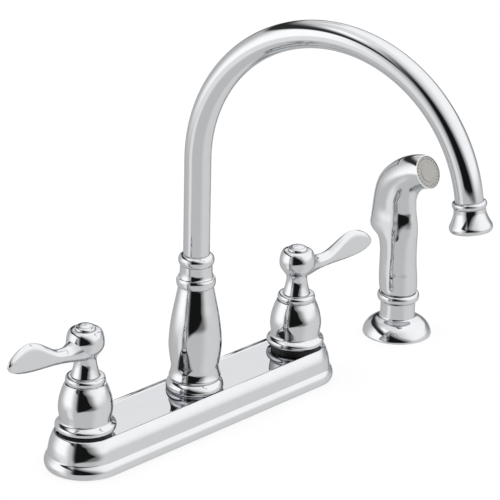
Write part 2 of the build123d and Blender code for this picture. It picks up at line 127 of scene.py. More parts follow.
@dataclass(frozen=True)
class Finish:
    """A surface as it leaves the maker, with the small unevenness that its process leaves.

    Attributes:
        name: Plain name of the finish.
        colour: sRGB hex of the clean surface.
        tint: sRGB hex of its slightly darker or duller places.
        metallic: 1 for a bare or plated metal.
        roughness: Middle roughness.
        spread: How far the roughness wanders about the middle.
        grain_mm: Size of the unevenness.
        bump_mm: Height of the unevenness.
        stretch: Factor along Z, above 1 for turned or drawn marks that run round or along.
        edge: sRGB hex of the reflection at a grazing angle.
    """

    name: str
    colour: str
    tint: str
    metallic: float
    roughness: float
    spread: float
    grain_mm: float
    bump_mm: float
    stretch: float = 1.0
    edge: str = "FFFFFF"

    def material(self) -> bpy.types.Material:
        """Make the finish's material, or return the one that is made already."""
        made = bpy.data.materials.get(self.name)
        if made:
            return made
        made = bpy.data.materials.new(self.name)
        made.use_nodes = True
        tree = made.node_tree
        tree.nodes.clear()
        place = add_node(tree, "ShaderNodeTexCoord")
        scaled = add_node(
            tree, "ShaderNodeMapping", {"in:Scale": (1, 1, self.stretch)}, {"Vector": place.outputs["Object"]}
        )
        grain = add_node(
            tree,
            "ShaderNodeTexNoise",
            {"in:Scale": 1 / (self.grain_mm * MM), "in:Detail": 3.0, "in:Roughness": 0.55},
            {"Vector": scaled.outputs["Vector"]},
        )
        rough = add_node(
            tree,
            "ShaderNodeMapRange",
            {"in:To Min": max(0.0, self.roughness - self.spread), "in:To Max": self.roughness + self.spread},
            {"Value": grain.outputs["Fac"]},
        )
        tone = add_node(
            tree,
            "ShaderNodeMix",
            {"data_type": "RGBA", "in:6": linear(self.colour), "in:7": linear(self.tint)},
            {"Factor": grain.outputs["Fac"]},
        )
        bump = add_node(
            tree,
            "ShaderNodeBump",
            {"in:Strength": 1.0, "in:Distance": self.bump_mm * MM},
            {"Height": grain.outputs["Fac"]},
        )
        shader = add_node(
            tree,
            "ShaderNodeBsdfPrincipled",
            {"in:Metallic": self.metallic, "in:Specular Tint": linear(self.edge)},
            {"Base Color": tone.outputs[2], "Roughness": rough.outputs["Result"], "Normal": bump.outputs["Normal"]},
        )
        add_node(tree, "ShaderNodeOutputMaterial", {}, {"Surface": shader.outputs["BSDF"]})
        return made


# Bright chromium over polished nickel: a nearly perfect mirror, a shade darker than white and faintly cool.
CHROME = Finish("bright_chrome_plate", "CBCCCE", "C6C8CA", 1.0, 0.035, 0.012, 9.0, 0.0008, 1.0, "D8D9DB")
# Turned brass under the plate, with fine tool marks running round.
BRASS = Finish("turned_brass", "C9A54F", "A98436", 1.0, 0.26, 0.08, 1.2, 0.01, 6.0)
# Drawn copper tube, browned a little by handling.
COPPER = Finish("drawn_copper", "B87850", "8E5636", 1.0, 0.3, 0.08, 3.0, 0.005)
# Moulded black nitrile rubber of the seals. On the bells' rings its black is painted shade, standing in for the shaded
# gap under each bell's bead.
BLACK_NITRILE_AND_PAINTED_GAP_SHADE = Finish("black_nitrile_and_painted_gap_shade", "0E0E0F", "17171A", 0.0, 0.5, 0.08, 0.8, 0.02)
# Die-cut sheet rubber of the foot gaskets, duller and greyer.
SHEET_RUBBER = Finish("die_cut_sheet_rubber", "232325", "2E2E30", 0.0, 0.75, 0.08, 0.6, 0.03)
# Natural nylon, milky and faintly yellow.
NYLON = Finish("natural_nylon", "E6E3D6", "D9D5C4", 0.0, 0.42, 0.06, 1.5, 0.01)
# Stainless steel of the clips, springs and screws.
STAINLESS = Finish("stainless_steel", "B4B4B6", "98989B", 1.0, 0.28, 0.06, 0.8, 0.004)
# Acetal of the spray face, moulded in a warm grey with a fine spark-eroded texture.
GREY_ACETAL = Finish("warm_grey_acetal", "A2A19D", "979691", 0.0, 0.4, 0.06, 0.5, 0.012)

SLOT_FINISH = {
    "chrome": CHROME,
    "brass": BRASS,
    "copper": COPPER,
    # the rubber slot's black rings under the bells are painted shade for the gap under each bell's bead
    "rubber": BLACK_NITRILE_AND_PAINTED_GAP_SHADE,
    "gasket": SHEET_RUBBER,
    "nylon": NYLON,
    "steel": STAINLESS,
    "grey_plastic": GREY_ACETAL,
}


# ---------------------------------------------------------------------------------------------------------------
# Mesh tools
# ---------------------------------------------------------------------------------------------------------------


def smooth_run(points: Run) -> Run:
    """Lay a smooth curve through a run's points.

    Args:
        points: At least two points; two stay a straight line.

    Returns:
        Points about SMOOTH_STEP apart, the ends included.
    """
    if len(points) == 2:
        return list(points)
    start, end = Vector(points[0]) * 2 - Vector(points[1]), Vector(points[-1]) * 2 - Vector(points[-2])
    ends = [start, *map(Vector, points), end]
    out: Run = []
    for a, b, c, d in zip(ends, ends[1:], ends[2:], ends[3:]):
        count = max(2, round((c - b).length / SMOOTH_STEP))
        for step in range(count):
            t = step / count
            spot = 0.5 * ((2 * b) + (c - a) * t + (2 * a - 5 * b + 4 * c - d) * t * t + (3 * b - a - 3 * c + d) * t**3)
            out.append((spot.x, spot.y))
    out.append(tuple(points[-1]))
    return out


def outline(runs: list[Run], closed: bool = True) -> Run:
    """Join runs into one outline of points, without repeats.

    Args:
        runs: Runs in order, each starting where the last one ends.
        closed: Whether the outline returns to its first point.

    Returns:
        The outline's points.
    """
    out: Run = []
    for run in runs:
        for point in smooth_run(run):
            if not out or math.dist(out[-1], point) > 1e-6:
                out.append(point)
    if closed and math.dist(out[0], out[-1]) < 1e-6:
        out.pop()
    return out


def straight(*points: Pair) -> list[Run]:
    """Straight runs through points, in order."""
    return [[a, b] for a, b in zip(points, points[1:])]


def lay_profile(bm: bmesh.types.BMesh, points: Run, closed: bool = True) -> list:
    """Put a profile in the plane Y = 0 as vertices and edges.

    Args:
        bm: Mesh that takes the profile.
        points: Radius and height of each point, in mm.
        closed: Whether the last point joins the first.

    Returns:
        The new vertices and edges.
    """
    verts = [bm.verts.new((r * MM, 0, z * MM)) for r, z in points]
    edges = [bm.edges.new(pair) for pair in zip(verts, verts[1:])]
    if closed:
        edges.append(bm.edges.new((verts[-1], verts[0])))
    return verts + edges


def spun(runs: list[Run], steps: int = ROUND_STEPS) -> bmesh.types.BMesh:
    """Turn a closed profile about the Z axis.

    Args:
        runs: Runs of (radius, height) in mm.
        steps: Facets round the turn.

    Returns:
        The turned mesh, its normals pointing out.
    """
    bm = bmesh.new()
    geometry = lay_profile(bm, outline(runs))
    bmesh.ops.spin(bm, geom=geometry, cent=(0, 0, 0), axis=(0, 0, 1), angle=2 * math.pi, steps=steps, use_merge=True)
    bmesh.ops.remove_doubles(bm, verts=bm.verts, dist=MERGE)
    bmesh.ops.recalc_face_normals(bm, faces=bm.faces)
    return bm


def oval_loop(bm: bmesh.types.BMesh, place: Matrix, wide: float, high: float, steps: int) -> list:
    """Add an oval ring of edges.

    Args:
        bm: Mesh that takes the ring.
        place: Where its centre and axes lie, in metres.
        wide: Half width along the ring's X, in mm.
        high: Half height along its Y, in mm.
        steps: Points round the ring.

    Returns:
        The ring's edges.
    """
    scale = Matrix.Diagonal((wide * MM, high * MM, 1, 1))
    made = bmesh.ops.create_circle(bm, cap_ends=False, segments=steps, radius=1, matrix=place @ scale)
    return list({edge for vert in made["verts"] for edge in vert.link_edges})


def lofted(rings: list[tuple[Matrix, float, float]], steps: int = 72, caps: bool = True) -> bmesh.types.BMesh:
    """Bridge oval rings into one skin.

    Args:
        rings: Place, half width and half height of each ring, in order.
        steps: Points round each ring.
        caps: Whether the two ends are closed.

    Returns:
        The skinned mesh.
    """
    bm = bmesh.new()
    loops = [oval_loop(bm, *ring, steps) for ring in rings]
    for first, second in zip(loops, loops[1:]):
        bmesh.ops.bridge_loops(bm, edges=first + second)
    if caps:
        bmesh.ops.holes_fill(bm, edges=loops[0] + loops[-1], sides=0)
    bmesh.ops.recalc_face_normals(bm, faces=bm.faces)
    return bm


def merged(first: bmesh.types.BMesh, second: bmesh.types.BMesh) -> bmesh.types.BMesh:
    """Add the second mesh to the first and free it.

    Args:
        first: Mesh that stays.
        second: Mesh whose parts move over.

    Returns:
        The first mesh.
    """
    spare = bpy.data.meshes.new("spare")
    second.to_mesh(spare)
    second.free()
    first.from_mesh(spare)
    bpy.data.meshes.remove(spare)
    return first


def between(rows: list[tuple[float, ...]], step: float) -> list[tuple[float, ...]]:
    """Fill smooth rows between given ones.

    Args:
        rows: Rows of equal length; the first number is the place along the shape.
        step: Largest distance along the shape between rows.

    Returns:
        The filled rows, the given ones included.
    """
    out: list[tuple[float, ...]] = []
    for index in range(len(rows) - 1):
        near = rows[max(index - 1, 0)], rows[index], rows[index + 1], rows[min(index + 2, len(rows) - 1)]
        span = near[2][0] - near[1][0]
        slopes = []
        for before, after in ((near[0], near[2]), (near[1], near[3])):
            gap = after[0] - before[0]
            slopes.append([(q - p) / gap * span for p, q in zip(before, after)])
        count = max(1, math.ceil(abs(span) / step))
        for part in range(count):
            t = part / count
            keep = (2 * t**3 - 3 * t**2 + 1, t**3 - 2 * t**2 + t, -2 * t**3 + 3 * t**2, t**3 - t**2)
            row = [
                keep[0] * p + keep[1] * m + keep[2] * q + keep[3] * n
                for p, q, m, n in zip(near[1], near[2], slopes[0], slopes[1])
            ]
            row[0] = near[1][0] + span * t
            out.append(tuple(row))
    out.append(rows[-1])
    return out


def finished(
    bm: bmesh.types.BMesh,
    name: str,
    finish: Finish,
    body: str,
    nodes: tuple[str, ...],
    place: Matrix | None = None,
) -> bpy.types.Object:
    """Make a mesh into a piece that stands for its CAD nodes.

    Args:
        bm: The mesh, freed here.
        name: The piece's name.
        finish: Its finish.
        body: CAD body that it rides on.
        nodes: CAD nodes that it replaces.
        place: Turn and shift of the mesh, in metres.

    Returns:
        The new object.
    """
    if place is not None:
        bmesh.ops.transform(bm, matrix=place, verts=bm.verts)
    for face in bm.faces:
        face.smooth = True
    mesh = bpy.data.meshes.new(name)
    bm.to_mesh(mesh)
    bm.free()
    mesh.set_sharp_from_angle(angle=SHARP_ANGLE)
    mesh.materials.append(finish.material())
    piece = bpy.data.objects.new(name, mesh)
    bpy.context.scene.collection.objects.link(piece)
    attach(piece, body)
    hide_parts(*nodes)
    LOG.info("%s: %d faces on %s", name, len(mesh.polygons), body)
    return piece


def upright(x: float, y: float = 0.0, turn: float = 0.0) -> Matrix:
    """Place of an upright piece at x, y in mm, turned by degrees about its axis."""
    return Matrix.Translation((x * MM, y * MM, 0)) @ Matrix.Rotation(math.radians(turn), 4, "Z")


# ---------------------------------------------------------------------------------------------------------------
# Deck plate
# ---------------------------------------------------------------------------------------------------------------


@dataclass
class DeckPlate:
    """Long chromed plate: a rolled foot, leaning walls and a sunk channel between two rounded rails."""

    half_length: float = 101.6
    floor: float = 22.9
    under: float = 19.5
    shoulder: float = 17.0

    def wall(self) -> list[Run]:
        """Section of the wall from the channel's edge over the rail and down, and up inside."""
        runs = straight((self.shoulder, self.floor), (19.2, self.floor))
        runs += [[(19.2, self.floor), (19.6, self.floor + 0.25), (19.9, 23.75)]]
        runs += [[(19.9, 23.75), (20.35, 24.25), (20.9, 23.95), (21.3, 23.3)]]
        runs += [[(21.3, 23.3), (22.3, 21.2), (23.75, 17.0), (24.6, 12.8), (25.1, 9.0)]]
        runs += [[(25.1, 9.0), (26.5, 6.9), (27.3, 4.0), (27.05, 1.6), (26.3, 0.0)]]
        runs += straight((26.3, 0), (24.9, 0), (24.9, 5.5), (22.9, 9.0), (22.2, 14.0), (20.6, self.under))
        return runs + straight((20.6, self.under), (self.shoulder, self.under))

    def build(self) -> bpy.types.Object:
        """Sweep the wall round the plate and close its channel floor, above and below."""
        bm = bmesh.new()
        points = outline(self.wall(), closed=False)
        geometry = lay_profile(bm, points, closed=False)
        quarter = Matrix.Rotation(-math.pi / 2, 4, "Z")
        verts = [item for item in geometry if isinstance(item, bmesh.types.BMVert)]
        bmesh.ops.transform(bm, matrix=Matrix.Translation((-self.half_length * MM, 0, 0)) @ quarter, verts=verts)
        edges = [item for item in geometry if isinstance(item, bmesh.types.BMEdge)]
        for way in (1, -1):
            run = bmesh.ops.extrude_edge_only(bm, edges=edges)["geom"]
            moved = [item for item in run if isinstance(item, bmesh.types.BMVert)]
            bmesh.ops.translate(bm, vec=(2 * way * self.half_length * MM, 0, 0), verts=moved)
            edges = [item for item in run if isinstance(item, bmesh.types.BMEdge)]
            turn = bmesh.ops.spin(
                bm,
                geom=moved + edges,
                cent=(way * self.half_length * MM, 0, 0),
                axis=(0, 0, 1),
                angle=math.pi,
                steps=72,
            )["geom_last"]
            edges = [item for item in turn if isinstance(item, bmesh.types.BMEdge)]
        bmesh.ops.remove_doubles(bm, verts=bm.verts, dist=MERGE)
        for height in (self.floor, self.under):
            rim = [
                edge
                for edge in bm.edges
                if edge.is_boundary and all(abs(vert.co.z - height * MM) < MERGE for vert in edge.verts)
            ]
            bmesh.ops.contextual_create(bm, geom=rim)
        bmesh.ops.recalc_face_normals(bm, faces=bm.faces)
        return finished(bm, "deck_plate_shell", CHROME, "deck_set", ("deck_plate",))


# ---------------------------------------------------------------------------------------------------------------
# Handles
# ---------------------------------------------------------------------------------------------------------------


@dataclass
class Handle:
    """A bell-shaped valve cover with its lever and the lever's domed button."""

    side: Side
    x: float
    turn: float
    foot: float = 26.0
    nut_top: float = 50.0
    bell_top: float = 63.2
    mouth: float = 9.75
    base: float = 62.0
    top: float = 95.0

    def bell(self) -> None:
        """Turn the bell: a fat bead at the foot, a full belly and a small bead below the mouth."""
        runs = straight((15.2, 30.0), (15.9, 28.5), (15.9, self.foot), (19.0, self.foot))
        runs += [[(19.0, self.foot), (19.95, 27.0), (20.2, 28.5), (19.8, 30.0), (18.6, 31.1)]]
        runs += [[(18.6, 31.1), (17.4, 32.0), (17.1, 33.2), (17.3, 34.9)]]
        runs += [[(17.3, 34.9), (18.0, 40.8), (17.25, 47.3), (15.3, 54.0), (13.5, 58.0)]]
        runs += [[(13.5, 58.0), (12.75, 58.4)]]
        runs += [[(12.75, 58.4), (13.1, 59.5), (13.2, 60.9), (12.6, 62.5), (11.4, self.bell_top)]]
        runs += straight((11.4, self.bell_top), (self.mouth, self.bell_top), (self.mouth, 61.3), (8.0, 61.3))
        runs += straight((8.0, 61.3), (8.0, self.nut_top), (14.4, self.nut_top))
        runs += straight((14.4, self.nut_top), (15.2, 46.0), (15.5, 41.0), (15.2, 30.0))
        name = f"{self.side.value}_bell"
        finished(spun(runs), f"{name}_cover", CHROME, "deck_set", (name,), upright(self.x))

    def lever(self) -> None:
        """Turn the lever's neck and round hub, and skin its arm that flattens into a leaf."""
        runs = straight((4.23, 77.0), (4.23, self.base), (9.6, self.base), (9.6, 63.3))
        neck: Run = [(9.6, 63.3), (8.8, 66.0), (7.9, 69.6), (7.35, 73.2), (7.4, 75.6), (8.5, 77.8), (10.1, 80.0)]
        ball: Run = [(11.5, 82.0), (12.3, 84.0), (12.5, 86.2), (12.4, 88.3), (11.9, 91.0), (11.3, 92.9), (10.5, 94.2)]
        runs += [[*neck, *ball, (9.3, self.top)]]
        runs += straight((9.3, self.top), (6.2, self.top), (6.2, 88.0), (2.1, 88.0), (2.1, 77.0), (4.23, 77.0))
        hub = spun(runs, 96)
        rows = [(3.0, 84.2, 9.6, 10.6), (6.5, 83.8, 9.0, 9.7), (9.5, 83.2, 7.9, 8.4), (12.5, 82.6, 6.7, 7.0)]
        rows += [(15.5, 82.2, 5.7, 5.8), (19.0, 82.2, 5.1, 5.0)]
        rows += [(26.0, 83.2, 5.2, 4.7), (33.0, 85.35, 6.95, 4.2), (40.0, 87.65, 8.95, 3.6), (47.0, 89.2, 9.9, 3.1)]
        rows += [(53.0, 89.4, 9.25, 2.8), (59.0, 88.9, 7.3, 2.5), (63.0, 88.4, 5.0, 2.1), (65.2, 88.0, 3.1, 1.5)]
        rows += [(66.2, 87.7, 1.5, 0.9)]
        rings = []
        for reach, middle, high, wide in between(rows, 1.0):
            spot = Matrix.Translation((reach * MM, 0, middle * MM))
            axes = Matrix(((0, 0, 1, 0), (1, 0, 0, 0), (0, 1, 0, 0), (0, 0, 0, 1)))
            rings.append((spot @ axes, wide, high))
        both = merged(hub, lofted(rings, 64))
        name = f"{self.side.value}_lever"
        place = upright(self.x, 0, self.turn)
        finished(both, f"{name}_arm", CHROME, f"{self.side.value}_handle", (name,), place)

    def button(self) -> None:
        """Turn the domed button with the fine groove that rings its crown."""
        runs = straight((0, 94.4), (4.9, 94.4), (4.9, 91.2), (6.18, 91.2))
        runs += straight((6.18, 91.2), (6.18, self.top), (6.9, self.top), (6.9, 95.9))
        runs += [[(6.9, 95.9), (6.5, 96.7), (5.5, 97.3)], [(5.5, 97.3), (5.35, 97.05), (5.1, 97.1)]]
        runs += [[(5.1, 97.1), (4.9, 97.6), (2.8, 98.25), (0, 98.5)]]
        name = f"{self.side.value}_button"
        body = f"{self.side.value}_handle"
        finished(spun(runs, 96), f"{name}_dome", CHROME, body, (name,), upright(self.x))

    def build(self) -> None:
        """Make the handle's three visible pieces."""
        self.bell()
        self.lever()
        self.button()


# ---------------------------------------------------------------------------------------------------------------
# Spout
# ---------------------------------------------------------------------------------------------------------------


@dataclass
class Spout:
    """Vase-shaped hub with the swinging gooseneck, its collar and its flared outlet."""

    floor: float = 22.9
    hub_top: float = 103.35
    turn: float = 9.68
    tube: float = 8.9
    bore: float = 7.7
    foot: float = 46.0
    rise: float = 185.8
    bend: float = 100.85
    bend_turn: float = 172.5
    tip: float = 4.0
    outlet: float = 18.0

    def hub(self) -> None:
        """Turn the fixed hub, with its foot bead, its belly and the bead below the collar."""
        runs = straight((14.4, 36.0), (14.4, self.floor), (18.6, self.floor))
        runs += [[(18.6, self.floor), (19.4, 23.7), (19.65, 24.9), (19.4, 26.8), (18.5, 28.7), (17.0, 30.2)]]
        runs += [[(17.0, 30.2), (17.5, 31.2), (17.6, 32.5), (17.15, 33.8)]]
        waist: Run = [(17.15, 33.8), (16.45, 36.6), (16.2, 39.8), (16.8, 43.5), (17.6, 49.4), (18.0, 55.2)]
        runs += [[*waist, (17.7, 61.8), (16.9, 69.8), (15.5, 78.5), (13.75, 87.2), (12.1, 95.8), (12.0, 96.9)]]
        runs += [[(12.0, 96.9), (12.9, 97.7), (13.3, 99.8), (13.2, 101.8), (12.7, self.hub_top)]]
        runs += straight((12.7, self.hub_top), (12.0, self.hub_top), (12.0, 101.8), (11.0, 101.8), (11.0, 86.0))
        runs += straight((11.0, 86.0), (12.0, 84.0), (13.2, 70.0), (13.2, 38.0), (14.4, 36.0))
        finished(spun(runs), "spout_hub_shell", CHROME, "deck_set", ("spout_hub",))

    def collar(self) -> None:
        """Turn the collar that swings with the tube."""
        inner = self.tube + 0.02
        runs = straight((inner, 119.5), (inner, 103.45), (11.9, 103.45))
        runs += [[(11.9, 103.45), (11.5, 104.3), (11.05, 107.0), (10.85, 112.0)]]
        runs += [[(10.85, 112.0), (11.5, 112.9), (12.05, 114.4), (12.1, 116.2), (11.5, 118.0), (10.2, 119.2)]]
        runs += [[(10.2, 119.2), (inner, 119.5)]]
        place = upright(0, 0, self.turn)
        finished(spun(runs, 96), "spout_collar_ring", CHROME, "spout", ("spout_collar",), place)

    def ring_edges(self, geometry: list, verts: list) -> list:
        """Edges of some new geometry that join two of the given vertices."""
        ends = set(verts)
        return [item for item in geometry if isinstance(item, bmesh.types.BMEdge) and set(item.verts) <= ends]

    def gooseneck(self) -> None:
        """Extrude the tube up its riser and spin it round the bend, outside and bore."""
        whole = None
        for radius in (self.tube, self.bore):
            bm = bmesh.new()
            ring = bmesh.ops.create_circle(
                bm, cap_ends=False, segments=96, radius=radius * MM, matrix=Matrix.Translation((0, 0, self.foot * MM))
            )
            edges = list({edge for vert in ring["verts"] for edge in vert.link_edges})
            riser = bmesh.ops.extrude_edge_only(bm, edges=edges)["geom"]
            verts = [item for item in riser if isinstance(item, bmesh.types.BMVert)]
            bmesh.ops.translate(bm, vec=(0, 0, (self.rise - self.foot) * MM), verts=verts)
            last = bmesh.ops.spin(
                bm,
                geom=verts + self.ring_edges(riser, verts),
                cent=(0, -self.bend * MM, self.rise * MM),
                axis=(1, 0, 0),
                angle=math.radians(self.bend_turn),
                steps=120,
            )["geom_last"]
            verts = [item for item in last if isinstance(item, bmesh.types.BMVert)]
            tail = bmesh.ops.extrude_edge_only(bm, edges=self.ring_edges(last, verts))["geom"]
            verts = [item for item in tail if isinstance(item, bmesh.types.BMVert)]
            lean = math.radians(self.bend_turn)
            tip = self.tip * MM
            bmesh.ops.translate(bm, vec=(0, -math.sin(lean) * tip, math.cos(lean) * tip), verts=verts)
            whole = bm if whole is None else merged(whole, bm)
        bmesh.ops.remove_doubles(whole, verts=whole.verts, dist=MERGE)
        ends = [edge for edge in whole.edges if edge.is_boundary]
        low = [edge for edge in ends if edge.verts[0].co.z < (self.foot + 1) * MM]
        high = [edge for edge in ends if edge.verts[0].co.z > (self.foot + 1) * MM]
        for loop in (low, high):
            bmesh.ops.bridge_loops(whole, edges=loop)
        bmesh.ops.recalc_face_normals(whole, faces=whole.faces)
        finished(whole, "gooseneck_tube", CHROME, "spout", ("spout_tube",), upright(0, 0, self.turn))

    def mouth_place(self) -> Matrix:
        """Place of a piece at the gooseneck's end, its +Z down along the water's way."""
        lean = math.radians(self.bend_turn)
        y = self.bend * (math.cos(lean) - 1)
        z = self.rise + self.bend * math.sin(lean)
        axes = Matrix(((1, 0, 0), (0, -math.cos(lean), -math.sin(lean)), (0, -math.sin(lean), math.cos(lean)))).to_4x4()
        axes.col[1] = (0, math.cos(lean), math.sin(lean), 0)
        return upright(0, 0, self.turn) @ Matrix.Translation((0, y * MM, z * MM)) @ axes

    def flare(self) -> None:
        """Turn the outlet: a bead over the tube's end and a bell that flares to a rounded lip."""
        inner = self.tube + 0.02
        runs = straight((inner, 4.0), (inner, -1.1), (9.4, -1.1))
        runs += [[(9.4, -1.1), (10.5, -0.5), (10.9, 0.9), (10.6, 2.4), (9.9, 3.3)]]
        runs += [[(9.9, 3.3), (10.15, 6.1), (10.85, 8.7), (11.95, 11.4), (13.3, 14.0)]]
        runs += [[(13.3, 14.0), (13.6, 15.3), (13.4, 16.8), (12.5, self.outlet)]]
        runs += straight((12.5, self.outlet), (11.0, self.outlet), (11.0, 12.5), (9.2, 12.5), (9.2, 10.0))
        runs += straight((9.2, 10.0), (self.bore, 10.0), (self.bore, 4.0), (inner, 4.0))
        finished(spun(runs), "outlet_flare", CHROME, "spout", ("outlet_bell",), self.mouth_place())

    def build(self) -> None:
        """Make the spout's four visible pieces."""
        self.hub()
        self.collar()
        self.gooseneck()
        self.flare()


# ---------------------------------------------------------------------------------------------------------------
# Sprayer
# ---------------------------------------------------------------------------------------------------------------


@dataclass
class Sprayer:
    """Hand sprayer: its deck holder, its swelling body with a bent head, and the trigger down its back."""

    x: float = 215.0
    pivot: Pair = (-34.6, 104.0)
    half_slot: float = 8.5
    gap: float = 0.3
    lip: float = 0.7
    recess: float = 3.2
    pocket: tuple[float, float, float] = (0.0, -6.5, -1.0)
    trigger_wall: float = 2.2
    rows: list[tuple[float, float, float, float]] = field(
        default_factory=lambda: [
            (33.0, 13.2, 13.2, 0.0),
            (34.6, 13.75, 13.75, 0.3),
            (39.0, 14.05, 14.05, 0.7),
            (45.3, 14.0, 14.1, 1.1),
            (51.6, 13.7, 13.8, 1.5),
            (58.0, 13.4, 13.65, 1.7),
            (66.0, 13.2, 13.8, 1.9),
            (74.5, 13.15, 15.4, 3.1),
            (80.0, 13.1, 19.6, 6.5),
            (88.0, 12.5, 19.3, 6.9),
            (96.0, 11.7, 18.3, 7.2),
            (104.0, 11.6, 17.5, 7.0),
        ]
    )
    bends: list[tuple[float, float, float, float]] = field(
        default_factory=lambda: [
            (0.0, 24.1, 59.1, 11.6),
            (16.0, 23.0, 56.3, 12.1),
            (32.5, 21.0, 51.0, 12.5),
            (49.0, 18.5, 46.0, 12.45),
            (65.0, 16.55, 41.55, 12.5),
        ]
    )

    def holder(self) -> None:
        """Turn the holder: a domed flange, a short post and the ring that takes the body."""
        runs = straight((10.2, 26.0), (10.2, -45.0), (13.0, -45.0), (13.0, 1.5), (23.1, 1.5), (23.1, 0.0), (25.0, 0.0))
        runs += [[(25.0, 0.0), (25.2, 1.2), (24.5, 3.9), (23.2, 6.4), (21.0, 9.0), (17.6, 11.3), (14.2, 12.6)]]
        runs += [[(14.2, 12.6), (13.1, 13.2), (12.8, 14.4)], [(12.8, 14.4), (12.8, 24.4)]]
        runs += [[(12.8, 24.4), (12.95, 25.4), (13.4, 26.1)]]
        runs += [[(13.4, 26.1), (14.6, 26.7), (15.3, 28.0), (15.45, 29.6), (15.15, 31.1), (14.4, 32.1), (13.4, 32.5)]]
        runs += straight((13.4, 32.5), (12.5, 32.5), (11.3, 26.0), (10.2, 26.0))
        finished(spun(runs), "sprayer_holder", CHROME, "deck_set", ("spray_holder",), upright(self.x))

    def rings(self) -> list[tuple[Matrix, float, float]]:
        """Rings of the body's outside, up its grip and round its head."""
        out = []
        for z, wide, deep, middle in between(self.rows, 0.8):
            out.append((Matrix.Translation((self.x * MM, middle * MM, z * MM)), wide, deep))
        for angle, near, far, wide in between(self.bends, 1.2)[1:]:
            turn = math.radians(angle)
            reach = (near + far) / 2
            y, z = self.pivot[0] + reach * math.cos(turn), self.pivot[1] + reach * math.sin(turn)
            spot = Matrix.Translation((self.x * MM, y * MM, z * MM))
            out.append((spot @ Matrix.Rotation(turn, 4, "X"), wide, (far - near) / 2))
        return out

    def slot_planes(self, grow: float) -> list[tuple[Vector, Vector]]:
        """Planes round the trigger's slot, each as a point and the normal that points into the slot.

        Args:
            grow: How far the slot is widened, in mm.

        Returns:
            The planes: the two sides, the foot and the slanted top.
        """
        side = (self.half_slot + grow) * MM
        middle = self.x * MM
        low = (79.6 if grow == 0 else 77.2) * MM
        slope = Vector((0, 5.0, 15.0)).normalized()
        over = Vector((middle, (-1.0 - 4 * grow) * MM, 131.0 * MM))
        return [
            (Vector((middle - side, 0, 0)), Vector((1, 0, 0))),
            (Vector((middle + side, 0, 0)), Vector((-1, 0, 0))),
            (Vector((0, 0, low)), Vector((0, 0, 1))),
            (over, Vector((0, slope.z, -slope.y))),
        ]

    def behind(self, spot: Vector) -> bool:
        """Whether a point of the skin lies behind the body's middle line, on the thumb's side."""
        rise = max(spot.z / MM - self.pivot[1], 0)
        reach = math.hypot(spot.y / MM - self.pivot[0], rise)
        turned = math.degrees(math.atan2(rise, spot.y / MM - self.pivot[0]))
        return reach > 41.6 - 12.55 * turned / self.bends[-1][0]

    def cut(self, bm: bmesh.types.BMesh, grow: float, keep_inside: bool) -> None:
        """Cut the skin along the slot and drop one side.

        Args:
            bm: Skin of the body.
            grow: How far the slot is widened, in mm.
            keep_inside: True keeps the trigger's share, False the body's.
        """
        planes = self.slot_planes(grow)
        for point, normal in planes:
            geometry = bm.verts[:] + bm.edges[:] + bm.faces[:]
            bmesh.ops.bisect_plane(bm, geom=geometry, plane_co=point, plane_no=normal, dist=1e-7)
        drop = []
        for face in bm.faces:
            spot = face.calc_center_median()
            inside = self.behind(spot) and all((spot - point).dot(normal) > 0 for point, normal in planes)
            if inside != keep_inside:
                drop.append(face)
        bmesh.ops.delete(bm, geom=drop, context="FACES")

    def body(self) -> None:
        """Skin the body, open its back for the trigger and its head for the spray face."""
        bm = lofted(self.rings(), 96)
        turn = math.radians(self.bends[-1][0])
        normal = Vector((0, -math.sin(turn), math.cos(turn)))
        wide = [face for face in bm.faces if len(face.verts) > 20 and face.calc_center_median().z > 0.11]
        cap = max(wide, key=lambda face: face.calc_area())
        if cap.normal.dot(normal) < 0:
            cap.normal_flip()
        bmesh.ops.inset_region(bm, faces=[cap], thickness=self.lip * MM, depth=0)
        made = bmesh.ops.extrude_face_region(bm, geom=[cap])["geom"]
        verts = [item for item in made if isinstance(item, bmesh.types.BMVert)]
        bmesh.ops.translate(bm, vec=-normal * self.recess * MM, verts=verts)
        bmesh.ops.delete(bm, geom=[cap], context="FACES_ONLY")
        self.cut(bm, self.gap, keep_inside=False)
        rim = [edge for edge in bm.edges if edge.is_boundary]
        walls = bmesh.ops.extrude_edge_only(bm, edges=rim)["geom"]
        verts = [item for item in walls if isinstance(item, bmesh.types.BMVert)]
        bmesh.ops.translate(bm, vec=Vector(self.pocket) * MM, verts=verts)
        edges = [item for item in walls if isinstance(item, bmesh.types.BMEdge)]
        bmesh.ops.contextual_create(bm, geom=edges)
        bmesh.ops.recalc_face_normals(bm, faces=bm.faces)
        plug = spun(straight((0, 26.2), (11.27, 26.2), (12.53, 33.0), (0, 33.0), (0, 26.2)), 96)
        bmesh.ops.transform(plug, matrix=upright(self.x), verts=plug.verts)
        finished(merged(bm, plug), "sprayer_body", CHROME, "spray_head", ("spray_body",))

    def trigger(self) -> None:
        """Take the trigger's share of the same skin and give it a wall."""
        bm = lofted(self.rings(), 96)
        self.cut(bm, 0.0, keep_inside=True)
        bmesh.ops.solidify(bm, geom=bm.faces[:], thickness=self.trigger_wall * MM)
        bmesh.ops.recalc_face_normals(bm, faces=bm.faces)
        finished(bm, "thumb_trigger", CHROME, "trigger", ("spray_trigger",))

    def build(self) -> None:
        """Make the sprayer's visible pieces."""
        self.holder()
        self.body()
        self.trigger()


# ---------------------------------------------------------------------------------------------------------------
# Studio
# ---------------------------------------------------------------------------------------------------------------


class Bearing(Enum):
    """Ways to measure a direction from the object: degrees, but for the height up the side panel."""

    ACROSS = "degrees to the right of the camera, as seen in the picture"
    UP = "degrees above the horizon"
    CEILING = "degrees above a line that sinks to the right"
    TABLE = "degrees above a line that rises to the right"
    PANEL = "height up the side panel over its distance"


Edges = tuple[float, float, float, float]
Operand = bpy.types.NodeSocket | float
FREE_LOW, FREE_HIGH = (-999.0, -998.0), (998.0, 999.0)  # edges of a window that is open on that side


